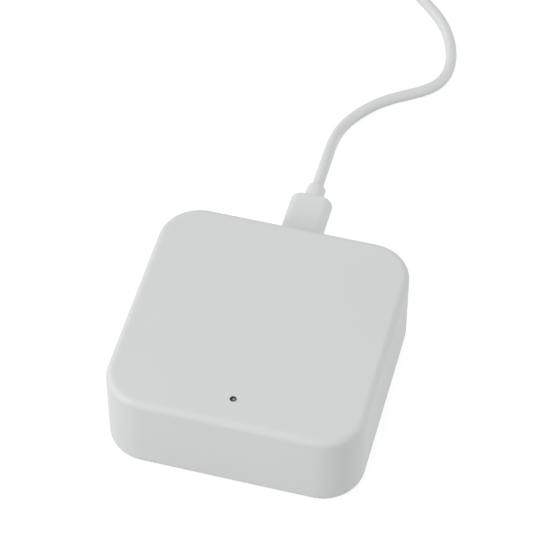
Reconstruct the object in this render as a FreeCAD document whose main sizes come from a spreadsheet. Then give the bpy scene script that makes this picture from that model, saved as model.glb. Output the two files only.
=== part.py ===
import FreeCAD, Part
import math
import os
import Sketcher

# Smart lock wifi bridge: a rounded square plastic box on four rubber feet, with one light in
# its top and a USB-C lead plugged into its back, which ends in a USB-A plug. Millimetres.
# The front faces -Y and the socket +Y. The origin lies on the table, under the box's middle.

SIZES = {
    # box, one moulded cup that is open below
    "body_width": 70.0,
    "body_depth": 70.0,
    "body_height": 25.9,
    "corner_radius": 11.5,
    "top_round": 2.0,
    "bottom_round": 2.5,
    "wall": 3.0,
    "top_wall": 2.5,
    "ceiling_chamfer": 1.0,
    # how far ribs and bosses run into the wall that carries them
    "rib_root": 0.5,
    "rib_thickness": 1.2,
    # four corner towers, which take the cover screws
    "tower_inset": 8.5,
    "tower_diameter": 6.0,
    "tower_rib_start": 1.5,
    # four posts, which the board is screwed to from below
    "post_inset": 10.5,
    "post_y": 13.0,
    "post_diameter": 5.0,
    "post_rib_lift": 1.0,
    # ribs on the walls that stop the base plate
    "stop_spread": 10.0,
    "stop_depth": 1.2,
    "stop_height": 5.0,
    # base plate, let into the underside
    "plate_thickness": 2.4,
    "plate_gap": 0.15,
    "plate_chamfer": 0.3,
    "rim_length": 36.0,
    "rim_inset": 1.6,
    "rim_height": 2.0,
    "stiffener_inset": 11.0,
    "stiffener_spread": 9.0,
    "stiffener_height": 1.5,
    "rest_spread": 14.0,
    "rest_inset": 11.0,
    "rest_diameter": 3.5,
    "rest_gap": 0.2,
    # rubber feet, each stuck in a shallow recess
    "foot_proud": 0.5,
    "foot_diameter": 8.0,
    "foot_inset": 14.5,
    "foot_recess": 0.6,
    "foot_chamfer": 0.3,
    "foot_clearance": 0.1,
    # cover screws
    "screw_head": 4.2,
    "screw_head_height": 1.3,
    "screw_shank": 2.2,
    "screw_length": 8.0,
    "screw_hole": 2.8,
    "head_clearance": 0.2,
    "thread_clearance": 0.05,
    "pilot_spare": 1.0,
    # board screws
    "board_screw_head": 3.6,
    "board_screw_head_height": 1.2,
    "board_screw_shank": 1.6,
    "board_screw_length": 6.0,
    "board_screw_hole": 2.2,
    # main board, which stops short of the walls and reaches the back one for the socket
    "board_thickness": 1.6,
    "board_inset": 6.5,
    "board_back_gap": 0.6,
    "board_clearance": 0.6,
    # USB-C socket on the board's back edge, its mouth in a window of the back wall
    "port_height": 11.8,
    "socket_width": 8.94,
    "socket_height": 3.26,
    "socket_round": 1.55,
    "socket_length": 7.6,
    "socket_setback": 0.3,
    "socket_sheet": 0.3,
    "window_clearance": 0.28,
    "tongue_width": 6.69,
    "tongue_thickness": 0.7,
    "tongue_setback": 0.7,
    "tongue_block": 1.1,
    "tongue_clearance": 0.05,
    "contact_count": 12,
    "contact_pitch": 0.5,
    "contact_width": 0.25,
    "contact_thickness": 0.08,
    "contact_length": 4.2,
    # status light and the clear rod that carries it to the top
    "light_inset": 8.4,
    "light_hole": 1.7,
    "light_width": 2.0,
    "light_depth": 1.25,
    "light_height": 0.8,
    "light_gap": 0.3,
    "pipe_diameter": 2.5,
    "pipe_tip": 1.6,
    "pipe_tip_recess": 0.15,
    "pipe_dome": 0.3,
    "pipe_shoulder": 1.5,
    "pipe_flange": 4.4,
    "pipe_flange_height": 1.0,
    "pipe_clearance": 0.05,
    "guide_diameter": 5.0,
    "guide_length": 8.0,
    # wifi module: a small board with a shield can and a chip antenna
    "wifi_x": -11.5,
    "wifi_y": -6.0,
    "wifi_width": 16.0,
    "wifi_length": 23.0,
    "wifi_can_width": 13.6,
    "wifi_can_length": 15.0,
    "wifi_can_height": 2.2,
    # bluetooth module, which speaks to the lock
    "bluetooth_x": 12.0,
    "bluetooth_y": -9.0,
    "bluetooth_width": 11.0,
    "bluetooth_length": 15.0,
    "bluetooth_can_width": 8.8,
    "bluetooth_can_length": 9.0,
    "bluetooth_can_height": 1.6,
    "module_thickness": 0.8,
    "module_margin": 1.0,
    "antenna_length": 5.0,
    "antenna_width": 2.0,
    "antenna_height": 1.1,
    # chips on the board
    "regulator_x": 9.0,
    "regulator_y": 15.0,
    "regulator_side": 3.0,
    "regulator_height": 1.0,
    "inductor_x": -8.0,
    "inductor_y": 15.5,
    "inductor_side": 5.0,
    "inductor_height": 2.4,
    "flash_x": 9.5,
    "flash_y": 4.5,
    "flash_length": 5.3,
    "flash_width": 5.2,
    "flash_height": 1.8,
    "crystal_x": 18.0,
    "crystal_y": 4.5,
    "crystal_length": 3.2,
    "crystal_width": 2.5,
    "crystal_height": 0.8,
    "capacitor_count": 6,
    "capacitor_x": -3.0,
    "capacitor_y": 20.5,
    "capacitor_pitch": 3.4,
    "capacitor_length": 2.0,
    "capacitor_width": 1.25,
    "resistor_count": 8,
    "resistor_x": -1.0,
    "resistor_y": 9.5,
    "resistor_pitch": 2.0,
    "resistor_length": 1.6,
    "resistor_width": 0.8,
    "resistor_height": 0.45,
    # USB-C plug
    "plug_width": 8.25,
    "plug_height": 2.4,
    "plug_round": 1.15,
    "plug_sheet": 0.25,
    "plug_length": 6.65,
    "grip_gap": 0.2,
    "grip_width": 12.0,
    "grip_height": 6.0,
    "grip_round": 2.8,
    "grip_length": 21.8,
    "grip_end_round": 1.2,
    "collar_diameter": 5.4,
    "collar_length": 5.0,
    "collar_round": 0.7,
    # USB-A plug on the far end
    "a_grip_width": 15.5,
    "a_grip_height": 8.1,
    "a_grip_round": 2.8,
    "a_grip_length": 22.0,
    "a_collar_length": 6.0,
    "a_plug_width": 12.0,
    "a_plug_height": 4.5,
    "a_plug_length": 12.0,
    "a_plug_sheet": 0.3,
    "a_plug_round": 0.6,
    "a_window_width": 2.2,
    "a_window_length": 2.0,
    "a_window_spread": 2.4,
    "a_window_from_tip": 6.0,
    "a_tongue_height": 1.8,
    "a_tongue_clearance": 0.15,
    "a_contact_count": 4,
    "a_contact_pitch": 2.3,
    "a_contact_width": 1.0,
    "a_contact_length": 7.5,
    "a_contact_height": 0.15,
    # cord
    "cord_diameter": 3.3,
    "cord_lift": 0.05,
    # neat coil of the length that is put away: two layers, turns just over a diameter apart
    "coil_x": 8.5,
    "coil_y": 195.5,
    "coil_radius": 24.0,
    "coil_pitch": 3.4,
    "coil_layer": 3.35,
    "coil_spiral_turns": 2.924,
    "coil_entry_angle": 215.0,
    "coil_exit_angle": 90.0,
    "coil_entry_stub": 14.0,
    "coil_exit_stub": 13.0,
    "coil_skin": 0.1,
    "coil_chamfer": 1.0,
    "tail_length": 14.0,
    # strap round the coil, under it and over it
    "tie_thickness": 0.5,
    "tie_width": 5.0,
    "tie_clearance": 0.4,
    "tie_round": 1.2,
    "tie_angle": 300.0,
}

# Points of the lead between the plug's collar and the coil, chosen by hand: it leaves level,
# sinks to the table and lies in an S.
CORD_LEVEL = 7.4
CORD_FALL = [(-0.2, 77.4, 10.9), (-0.8, 85.2, 6.6), (-0.8, 93.8, 2.6)]
CORD_TABLE = [
    (1.0, 100.8), (6.0, 107.8), (11.2, 112.4), (17.8, 116.2), (22.0, 120.9), (24.5, 126.7),
    (25.0, 133.3), (22.9, 141.4), (18.0, 149.4), (10.1, 156.4),
]
CORD_LAST_RUN = 9.0
TAIL_RUNS = (0.3, 0.7)
# Share of the shorter run that an arc of the cord takes up, and how near is near enough.
ARC_SHARE = 0.45
NEAR = 1e-4

document = FreeCAD.newDocument("wifi_bridge")
sheet = document.addObject("Spreadsheet::Sheet", "dim")
for row, (name, size) in enumerate(SIZES.items(), start=1):
    sheet.set(f"A{row}", str(size))
    sheet.setAlias(f"A{row}", name)
document.recompute()

# Heights and places that several pieces share, as expressions on the sheet.
UNDERSIDE = "dim.foot_proud"
ROOF = "(dim.foot_proud + dim.body_height)"
CEILING = f"({ROOF} - dim.top_wall)"
PLATE_TOP = "(dim.foot_proud + dim.plate_thickness)"
PORT_Z = "(dim.foot_proud + dim.port_height)"
BOARD_TOP = f"({PORT_Z} - dim.socket_height / 2)"
BOARD_BOTTOM = f"({BOARD_TOP} - dim.board_thickness)"
INSIDE_X = "(dim.body_width / 2 - dim.wall)"
INSIDE_Y = "(dim.body_depth / 2 - dim.wall)"
TOWER_X = "(dim.body_width / 2 - dim.tower_inset)"
TOWER_Y = "(dim.body_depth / 2 - dim.tower_inset)"
POST_X = "(dim.body_width / 2 - dim.post_inset)"
LIGHT_Y = "(dim.light_inset - dim.body_depth / 2)"
FOOT_X = "(dim.body_width / 2 - dim.foot_inset)"
FOOT_Y = "(dim.body_depth / 2 - dim.foot_inset)"
MODULE_TOP = f"({BOARD_TOP} + dim.module_thickness)"
SOCKET_MOUTH = "(dim.body_depth / 2 - dim.socket_setback)"
SOCKET_BACK = f"({SOCKET_MOUTH} - dim.socket_length)"
GRIP_FACE = "(dim.body_depth / 2 + dim.grip_gap)"
GRIP_END = f"({GRIP_FACE} + dim.grip_length)"
COLLAR_END = f"({GRIP_END} + dim.collar_length)"
COIL_BASE = "(dim.tie_thickness + dim.cord_lift)"
COIL_OUTER = "(dim.coil_radius + dim.cord_diameter / 2 + dim.coil_skin)"
COIL_INNER = (
    "(dim.coil_radius - dim.coil_pitch * dim.coil_spiral_turns - dim.cord_diameter / 2"
    " - dim.coil_skin)"
)
COIL_HEIGHT = "(dim.cord_diameter + dim.coil_layer + dim.coil_skin)"
CORNERS = [("", ""), ("-", ""), ("-", "-"), ("", "-")]


def value(expression):
    """The number that an expression on the sheet gives now."""
    return float(sheet.evalExpression(expression))


def new_body(label):
    body = document.addObject("PartDesign::Body", label)
    body.Label = label
    body.AllowCompound = True
    return body


def new_sketch(body, plane, offset):
    """A sketch on one of the body's own planes, moved along that plane's normal."""
    sketch = body.newObject("Sketcher::SketchObject", body.Label + "_sketch")
    for feature in body.Origin.OriginFeatures:
        if feature.Role == plane:
            sketch.AttachmentSupport = [(feature, "")]
    sketch.MapMode = "FlatFace"
    sketch.setExpression("AttachmentOffset.Base.z", offset)
    return sketch


def hold(sketch, constraint, expression):
    """Add a size to the sketch and bind it to the sheet."""
    index = sketch.addConstraint(constraint)
    sketch.setExpression(f"Constraints[{index}]", expression)


def pin(sketch, line, point, x=None, y=None):
    for kind, place in (("DistanceX", x), ("DistanceY", y)):
        if place is not None:
            rule = Sketcher.Constraint(kind, -1, 1, line, point, value(place))
            hold(sketch, rule, place)


def circle(sketch, x, y, radius):
    centre = FreeCAD.Vector(value(x), value(y), 0)
    ring = sketch.addGeometry(Part.Circle(centre, FreeCAD.Vector(0, 0, 1), value(radius)))
    pin(sketch, ring, 3, x, y)
    hold(sketch, Sketcher.Constraint("Radius", ring, value(radius)), radius)


def rectangle(sketch, low_x, low_y, high_x, high_y):
    corners = [(low_x, low_y), (high_x, low_y), (high_x, high_y), (low_x, high_y)]
    points = [FreeCAD.Vector(value(x), value(y), 0) for x, y in corners]
    lines = []
    for start, end in zip(points, points[1:] + points[:1]):
        lines.append(sketch.addGeometry(Part.LineSegment(start, end)))
    for line, after in zip(lines, lines[1:] + lines[:1]):
        sketch.addConstraint(Sketcher.Constraint("Coincident", line, 2, after, 1))
    for line, kind in zip(lines, ("Horizontal", "Vertical") * 2):
        sketch.addConstraint(Sketcher.Constraint(kind, line))
    pin(sketch, lines[0], 1, low_x, low_y)
    pin(sketch, lines[1], 2, high_x, high_y)


def centred_rectangle(sketch, x, y, width, depth):
    rectangle(
        sketch,
        f"{x} - ({width}) / 2",
        f"{y} - ({depth}) / 2",
        f"{x} + ({width}) / 2",
        f"{y} + ({depth}) / 2",
    )


def rounded_rectangle(sketch, x, y, width, depth, radius):
    """Four sides joined by four tangent arcs, about the point x, y."""
    left, right = f"{x} - ({width}) / 2", f"{x} + ({width}) / 2"
    bottom, top = f"{y} - ({depth}) / 2", f"{y} + ({depth}) / 2"
    near_x, far_x = value(f"{left} + {radius}"), value(f"{right} - ({radius})")
    near_y, far_y = value(f"{bottom} + {radius}"), value(f"{top} - ({radius})")
    low_x, high_x, low_y, high_y = value(left), value(right), value(bottom), value(top)
    ends = [
        ((near_x, low_y), (far_x, low_y)),
        ((high_x, near_y), (high_x, far_y)),
        ((far_x, high_y), (near_x, high_y)),
        ((low_x, far_y), (low_x, near_y)),
    ]
    centres = [(far_x, near_y), (far_x, far_y), (near_x, far_y), (near_x, near_y)]
    sides, arcs = [], []
    for start, end in ends:
        side = Part.LineSegment(FreeCAD.Vector(*start, 0), FreeCAD.Vector(*end, 0))
        sides.append(sketch.addGeometry(side))
    for quarter, centre in enumerate(centres):
        ring = Part.Circle(FreeCAD.Vector(*centre, 0), FreeCAD.Vector(0, 0, 1), value(radius))
        first = math.radians(90 * quarter - 90)
        arcs.append(sketch.addGeometry(Part.ArcOfCircle(ring, first, first + math.pi / 2)))
    for side, arc, after in zip(sides, arcs, sides[1:] + sides[:1]):
        sketch.addConstraint(Sketcher.Constraint("Tangent", side, 2, arc, 1))
        sketch.addConstraint(Sketcher.Constraint("Tangent", arc, 2, after, 1))
    for side, kind in zip(sides, ("Horizontal", "Vertical") * 2):
        sketch.addConstraint(Sketcher.Constraint(kind, side))
    for arc in arcs[1:]:
        sketch.addConstraint(Sketcher.Constraint("Equal", arcs[0], arc))
    hold(sketch, Sketcher.Constraint("Radius", arcs[0], value(radius)), radius)
    pin(sketch, sides[0], 1, y=bottom)
    pin(sketch, sides[1], 1, x=right)
    pin(sketch, sides[2], 1, y=top)
    pin(sketch, sides[3], 1, x=left)


def volume_of(body):
    document.recompute()
    return body.Shape.Volume if body.Tip else 0.0


def grow(body, sketch, length, backwards=False):
    """Pad a sketch, and make sure that the body gained by it."""
    before = volume_of(body)
    feature = body.newObject("PartDesign::Pad", body.Label + "_pad")
    feature.Profile = sketch
    feature.setExpression("Length", length)
    feature.Reversed = backwards
    if volume_of(body) <= before:
        raise ValueError(f"{feature.Name} adds nothing")
    return feature


def cut(body, sketch, depth, backwards=False):
    """Pocket a sketch, and make sure that the body lost by it."""
    before = volume_of(body)
    feature = body.newObject("PartDesign::Pocket", body.Label + "_pocket")
    feature.Profile = sketch
    feature.setExpression("Length", depth)
    feature.Reversed = backwards
    if volume_of(body) >= before:
        raise ValueError(f"{feature.Name} cuts nothing")
    return feature


def dress(body, kind, size, chosen):
    """Fillet or chamfer the edges that a test picks from the body as it is now."""
    document.recompute()
    base = body.Tip
    names = [f"Edge{i}" for i, edge in enumerate(base.Shape.Edges, 1) if chosen(edge)]
    feature = body.newObject(f"PartDesign::{kind}", f"{body.Label}_{kind.lower()}")
    feature.Base = (base, names)
    feature.setExpression("Radius" if kind == "Fillet" else "Size", size)
    document.recompute()
    return feature


def lies_at(axis, expression):
    """A test for edges that lie in a plane across the axis."""
    place = value(expression)

    def test(edge):
        box = edge.BoundBox
        low, high = getattr(box, axis + "Min"), getattr(box, axis + "Max")
        return abs(low - place) < NEAR and abs(high - place) < NEAR

    return test


def move_to(body, x, y, z):
    for axis, place in (("x", x), ("y", y), ("z", z)):
        body.setExpression(f"Placement.Base.{axis}", place)


def make_top_housing():
    """Cup with its towers, posts, light guide, ribs and the window for the socket."""
    body = new_body("top_housing")
    outline = new_sketch(body, "XY_Plane", UNDERSIDE)
    rounded_rectangle(outline, "0", "0", "dim.body_width", "dim.body_depth", "dim.corner_radius")
    grow(body, outline, "dim.body_height")
    dress(body, "Fillet", "dim.top_round", lies_at("Z", ROOF))
    dress(body, "Fillet", "dim.bottom_round", lies_at("Z", UNDERSIDE))

    cavity = new_sketch(body, "XY_Plane", UNDERSIDE)
    rounded_rectangle(
        cavity, "0", "0", f"2 * {INSIDE_X}", f"2 * {INSIDE_Y}", "dim.corner_radius - dim.wall"
    )
    cut(body, cavity, "dim.body_height - dim.top_wall", backwards=True)
    dress(body, "Chamfer", "dim.ceiling_chamfer", lies_at("Z", CEILING))

    towers = new_sketch(body, "XY_Plane", PLATE_TOP)
    for side, end in CORNERS:
        circle(towers, side + TOWER_X, end + TOWER_Y, "dim.tower_diameter / 2")
    tower_length = f"{CEILING} + dim.rib_root - {PLATE_TOP}"
    grow(body, towers, tower_length)

    tower_ribs = new_sketch(body, "XY_Plane", PLATE_TOP)
    reach_x = f"{INSIDE_X} + dim.rib_root - {TOWER_X} - dim.tower_rib_start"
    reach_y = f"{INSIDE_Y} + dim.rib_root - {TOWER_Y} - dim.tower_rib_start"
    middle_x = f"({TOWER_X} + dim.tower_rib_start + ({reach_x}) / 2)"
    middle_y = f"({TOWER_Y} + dim.tower_rib_start + ({reach_y}) / 2)"
    for side, end in CORNERS:
        centred_rectangle(
            tower_ribs, side + middle_x, end + TOWER_Y, reach_x, "dim.rib_thickness"
        )
        centred_rectangle(
            tower_ribs, side + TOWER_X, end + middle_y, "dim.rib_thickness", reach_y
        )
    grow(body, tower_ribs, tower_length)

    posts = new_sketch(body, "XY_Plane", BOARD_TOP)
    for side, end in CORNERS:
        circle(posts, side + POST_X, end + "dim.post_y", "dim.post_diameter / 2")
    grow(body, posts, f"{CEILING} + dim.rib_root - {BOARD_TOP}")

    post_ribs = new_sketch(body, "XY_Plane", f"{BOARD_TOP} + dim.post_rib_lift")
    reach = f"{INSIDE_X} + dim.rib_root - {POST_X}"
    middle = f"({POST_X} + ({reach}) / 2)"
    for side, end in CORNERS:
        centred_rectangle(
            post_ribs, side + middle, end + "dim.post_y", reach, "dim.rib_thickness"
        )
    grow(body, post_ribs, f"{CEILING} + dim.rib_root - {BOARD_TOP} - dim.post_rib_lift")

    stops = new_sketch(body, "XY_Plane", PLATE_TOP)
    deep = "dim.stop_depth + dim.rib_root"
    beside = f"({INSIDE_X} - dim.stop_depth + ({deep}) / 2)"
    ahead = f"({INSIDE_Y} - dim.stop_depth + ({deep}) / 2)"
    for side, end in CORNERS:
        centred_rectangle(stops, side + beside, end + "dim.stop_spread", deep, "dim.rib_thickness")
        centred_rectangle(stops, side + "dim.stop_spread", end + ahead, "dim.rib_thickness", deep)
    grow(body, stops, "dim.stop_height")

    guide_end = f"{CEILING} - dim.guide_length"
    guide = new_sketch(body, "XY_Plane", guide_end)
    circle(guide, "0", LIGHT_Y, "dim.guide_diameter / 2")
    grow(body, guide, "dim.guide_length + dim.rib_root")
    bore = new_sketch(body, "XY_Plane", guide_end)
    circle(bore, "0", LIGHT_Y, "dim.pipe_diameter / 2 + dim.pipe_clearance")
    cut(body, bore, f"{ROOF} - dim.pipe_shoulder - ({guide_end})", backwards=True)
    opening = new_sketch(body, "XY_Plane", ROOF)
    circle(opening, "0", LIGHT_Y, "dim.light_hole / 2")
    cut(body, opening, "dim.pipe_shoulder + dim.rib_root")

    tower_pilots = new_sketch(body, "XY_Plane", PLATE_TOP)
    for side, end in CORNERS:
        circle(
            tower_pilots,
            side + TOWER_X,
            end + TOWER_Y,
            "dim.screw_shank / 2 + dim.thread_clearance",
        )
    cut(body, tower_pilots, "dim.screw_length + dim.pilot_spare", backwards=True)

    post_pilots = new_sketch(body, "XY_Plane", BOARD_TOP)
    for side, end in CORNERS:
        circle(
            post_pilots,
            side + POST_X,
            end + "dim.post_y",
            "dim.board_screw_shank / 2 + dim.thread_clearance",
        )
    cut(body, post_pilots, "dim.board_screw_length + dim.pilot_spare", backwards=True)

    window = new_sketch(body, "XZ_Plane", "-dim.body_depth / 2")
    rounded_rectangle(
        window,
        "0",
        PORT_Z,
        "dim.socket_width + 2 * dim.window_clearance",
        "dim.socket_height + 2 * dim.window_clearance",
        "dim.socket_round + dim.window_clearance",
    )
    cut(body, window, "dim.wall", backwards=True)
    return body


def make_base_plate():
    """Flat cover with a rim, stiffeners, board rests, sunk screw holes and foot recesses."""
    body = new_body("base_plate")
    outline = new_sketch(body, "XY_Plane", UNDERSIDE)
    plate_width = f"2 * ({INSIDE_X} - dim.plate_gap)"
    plate_depth = f"2 * ({INSIDE_Y} - dim.plate_gap)"
    plate_radius = "dim.corner_radius - dim.wall - dim.plate_gap"
    rounded_rectangle(outline, "0", "0", plate_width, plate_depth, plate_radius)
    grow(body, outline, "dim.plate_thickness")
    dress(body, "Chamfer", "dim.plate_chamfer", lies_at("Z", UNDERSIDE))

    rim = new_sketch(body, "XY_Plane", PLATE_TOP)
    rim_x = f"({INSIDE_X} - dim.plate_gap - dim.rim_inset - dim.rib_thickness / 2)"
    rim_y = f"({INSIDE_Y} - dim.plate_gap - dim.rim_inset - dim.rib_thickness / 2)"
    for sign in ("", "-"):
        centred_rectangle(rim, sign + rim_x, "0", "dim.rib_thickness", "dim.rim_length")
        centred_rectangle(rim, "0", sign + rim_y, "dim.rim_length", "dim.rib_thickness")
    grow(body, rim, "dim.rim_height")

    lengthways = new_sketch(body, "XY_Plane", PLATE_TOP)
    crossways = new_sketch(body, "XY_Plane", PLATE_TOP)
    stiff_x = "dim.body_width - 2 * dim.stiffener_inset"
    stiff_y = "dim.body_depth - 2 * dim.stiffener_inset"
    for sign in ("", "-"):
        spread = sign + "dim.stiffener_spread"
        centred_rectangle(lengthways, spread, "0", "dim.rib_thickness", stiff_y)
        centred_rectangle(crossways, "0", spread, stiff_x, "dim.rib_thickness")
    grow(body, lengthways, "dim.stiffener_height")
    grow(body, crossways, "dim.stiffener_height")

    rests = new_sketch(body, "XY_Plane", PLATE_TOP)
    rest_y = "(dim.body_depth / 2 - dim.rest_inset)"
    for side, end in CORNERS:
        circle(rests, side + "dim.rest_spread", end + rest_y, "dim.rest_diameter / 2")
    grow(body, rests, f"{BOARD_BOTTOM} - dim.rest_gap - {PLATE_TOP}")

    holes = [
        ("dim.screw_head / 2 + dim.head_clearance", "dim.screw_head_height", TOWER_X, TOWER_Y),
        ("dim.screw_hole / 2", "dim.plate_thickness", TOWER_X, TOWER_Y),
        ("dim.foot_diameter / 2 + dim.foot_clearance", "dim.foot_recess", FOOT_X, FOOT_Y),
    ]
    for radius, depth, x, y in holes:
        recess = new_sketch(body, "XY_Plane", UNDERSIDE)
        for side, end in CORNERS:
            circle(recess, side + x, end + y, radius)
        cut(body, recess, depth, backwards=True)
    return body


def make_foot(number, side, end):
    body = new_body(f"rubber_foot_{number}")
    disc = new_sketch(body, "XY_Plane", "0")
    circle(disc, "0", "0", "dim.foot_diameter / 2")
    grow(body, disc, "dim.foot_proud + dim.foot_recess")
    dress(body, "Chamfer", "dim.foot_chamfer", lies_at("Z", "0"))
    move_to(body, side + FOOT_X, end + FOOT_Y, "0")
    return body


def make_screws(label, x, y, head_face, head, head_height, shank, length):
    """Four pan head screws that point up."""
    body = new_body(label)
    heads = new_sketch(body, "XY_Plane", head_face)
    shanks = new_sketch(body, "XY_Plane", head_face)
    for side, end in CORNERS:
        circle(heads, side + x, end + y, f"{head} / 2")
        circle(shanks, side + x, end + y, f"{shank} / 2")
    grow(body, heads, head_height)
    grow(body, shanks, f"{head_height} + {length}")
    return body


def make_main_board():
    """Board with cut corners that clear the towers, and four screw holes."""
    body = new_body("main_board")
    outline = new_sketch(body, "XY_Plane", BOARD_BOTTOM)
    half = "(dim.body_width / 2 - dim.board_inset)"
    front = "(dim.body_depth / 2 - dim.board_inset)"
    back = f"({INSIDE_Y} - dim.board_back_gap)"
    rectangle(outline, f"-{half}", f"-{front}", half, back)
    grow(body, outline, "dim.board_thickness")
    clear = "sqrt(2) * (dim.tower_diameter / 2 + dim.board_clearance)"
    for end, sign in ((front, -1), (back, 1)):
        across = value(end) * sign

        def upright(edge):
            box = edge.BoundBox
            return box.ZLength > NEAR and abs(box.YMin - across) < NEAR and box.YLength < NEAR

        size = f"{half} + {end} - {TOWER_X} - {TOWER_Y} + {clear}"
        dress(body, "Chamfer", size, upright)
    holes = new_sketch(body, "XY_Plane", BOARD_BOTTOM)
    for side, end in CORNERS:
        circle(holes, side + POST_X, end + "dim.post_y", "dim.board_screw_hole / 2")
    cut(body, holes, "dim.board_thickness", backwards=True)
    return body


def make_socket():
    """Drawn metal shell, the moulded tongue inside it and its two rows of contacts."""
    shell = new_body("usb_c_socket_shell")
    outside = new_sketch(shell, "XZ_Plane", f"-{SOCKET_MOUTH}")
    rounded_rectangle(
        outside, "0", PORT_Z, "dim.socket_width", "dim.socket_height", "dim.socket_round"
    )
    grow(shell, outside, "dim.socket_length")
    inside = new_sketch(shell, "XZ_Plane", f"-{SOCKET_MOUTH}")
    inner_width = "dim.socket_width - 2 * dim.socket_sheet"
    inner_height = "dim.socket_height - 2 * dim.socket_sheet"
    inner_round = "dim.socket_round - dim.socket_sheet"
    rounded_rectangle(inside, "0", PORT_Z, inner_width, inner_height, inner_round)
    cut(shell, inside, "dim.socket_length", backwards=True)

    tongue = new_body("usb_c_socket_tongue")
    block = new_sketch(tongue, "XZ_Plane", f"-{SOCKET_BACK}")
    rounded_rectangle(
        block,
        "0",
        PORT_Z,
        f"{inner_width} - 2 * dim.tongue_clearance",
        f"{inner_height} - 2 * dim.tongue_clearance",
        f"{inner_round} - dim.tongue_clearance",
    )
    grow(tongue, block, "dim.tongue_block", backwards=True)
    blade = new_sketch(tongue, "XZ_Plane", f"-{SOCKET_BACK}")
    centred_rectangle(blade, "0", PORT_Z, "dim.tongue_width", "dim.tongue_thickness")
    grow(tongue, blade, "dim.socket_length - dim.tongue_setback", backwards=True)

    contacts = new_body("usb_c_socket_contacts")
    tip = f"({SOCKET_MOUTH} - dim.tongue_setback)"
    strips = new_sketch(contacts, "XZ_Plane", f"-{tip}")
    lift = "(dim.tongue_thickness + dim.contact_thickness) / 2"
    count = round(value("dim.contact_count"))
    for index in range(count):
        across = f"{index - (count - 1) / 2} * dim.contact_pitch"
        for sign in ("+", "-"):
            centred_rectangle(
                strips, across, f"{PORT_Z} {sign} {lift}", "dim.contact_width",
                "dim.contact_thickness",
            )
    grow(contacts, strips, "dim.contact_length")
    return [shell, tongue, contacts]


def make_block(label, x, y, base, width, depth, height):
    """A plain rectangular component that stands on a board."""
    body = new_body(label)
    outline = new_sketch(body, "XY_Plane", base)
    centred_rectangle(outline, x, y, width, depth)
    grow(body, outline, height)
    return body


def make_row(label, count, x, y, pitch, width, depth, height):
    """Equal small components in a row along the board."""
    body = new_body(label)
    outline = new_sketch(body, "XY_Plane", BOARD_TOP)
    for index in range(round(value(count))):
        centred_rectangle(outline, f"{x} + {index} * {pitch}", y, width, depth)
    grow(body, outline, height)
    return body


def make_radio_module(name):
    """Small board soldered flat on the main one, with its shield can and its chip antenna."""
    x, y = f"dim.{name}_x", f"dim.{name}_y"
    width, length = f"dim.{name}_width", f"dim.{name}_length"
    can_length = f"dim.{name}_can_length"
    can_y = f"({y} + {length} / 2 - dim.module_margin - {can_length} / 2)"
    antenna_y = f"({y} - {length} / 2 + dim.module_margin + dim.antenna_width / 2)"
    board = make_block(
        name + "_module_board", x, y, BOARD_TOP, width, length, "dim.module_thickness"
    )
    can = make_block(
        name + "_module_shield", x, can_y, MODULE_TOP, f"dim.{name}_can_width", can_length,
        f"dim.{name}_can_height",
    )
    antenna = make_block(
        name + "_antenna", x, antenna_y, MODULE_TOP, "dim.antenna_length", "dim.antenna_width",
        "dim.antenna_height",
    )
    return [board, can, antenna]


def make_light_pipe():
    """Clear rod with a flange below, a shoulder and a thin domed tip in the top's hole."""
    body = new_body("light_pipe")
    bottom = f"({BOARD_TOP} + dim.light_height + dim.light_gap)"
    guide_end = f"({CEILING} - dim.guide_length)"
    shoulder = f"({ROOF} - dim.pipe_shoulder - dim.pipe_clearance)"
    steps = [
        ("dim.pipe_diameter", bottom, f"{shoulder} - {bottom}"),
        ("dim.pipe_flange", f"{guide_end} - dim.pipe_flange_height", "dim.pipe_flange_height"),
        ("dim.pipe_tip", shoulder, f"{ROOF} - dim.pipe_tip_recess - {shoulder}"),
    ]
    for diameter, base, length in steps:
        disc = new_sketch(body, "XY_Plane", base)
        circle(disc, "0", LIGHT_Y, f"{diameter} / 2")
        grow(body, disc, length)
    dress(body, "Fillet", "dim.pipe_dome", lies_at("Z", f"{ROOF} - dim.pipe_tip_recess"))
    return body


def make_grip(label, width, height, radius, length, collar):
    """Plug grip that points along +Y from its own face, with the cord's collar behind it."""
    body = new_body(label)
    section = new_sketch(body, "XZ_Plane", "0")
    rounded_rectangle(section, "0", "0", width, height, radius)
    grow(body, section, length, backwards=True)
    dress(body, "Fillet", "dim.grip_end_round", lies_at("Y", length))
    ring = new_sketch(body, "XZ_Plane", f"dim.grip_end_round - ({length})")
    circle(ring, "0", "0", "dim.collar_diameter / 2")
    grow(body, ring, f"dim.grip_end_round + {collar}", backwards=True)
    dress(body, "Fillet", "dim.collar_round", lies_at("Y", f"{length} + {collar}"))
    return body


def make_plug_shell(label, width, height, radius, sheet_thickness, length):
    """Sheet metal sleeve that points along -Y from the grip's face."""
    body = new_body(label)
    outside = new_sketch(body, "XZ_Plane", "0")
    rounded_rectangle(outside, "0", "0", width, height, radius)
    grow(body, outside, length)
    inside = new_sketch(body, "XZ_Plane", "0")
    rounded_rectangle(
        inside,
        "0",
        "0",
        f"{width} - 2 * {sheet_thickness}",
        f"{height} - 2 * {sheet_thickness}",
        f"{radius} - {sheet_thickness}",
    )
    cut(body, inside, length, backwards=True)
    return body


def make_usb_c_plug():
    grip = make_grip(
        "usb_c_plug_grip", "dim.grip_width", "dim.grip_height", "dim.grip_round",
        "dim.grip_length", "dim.collar_length",
    )
    shell = make_plug_shell(
        "usb_c_plug_shell", "dim.plug_width", "dim.plug_height", "dim.plug_round",
        "dim.plug_sheet", "dim.plug_length",
    )
    for body in (grip, shell):
        move_to(body, "0", GRIP_FACE, PORT_Z)
    return [grip, shell]


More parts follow.
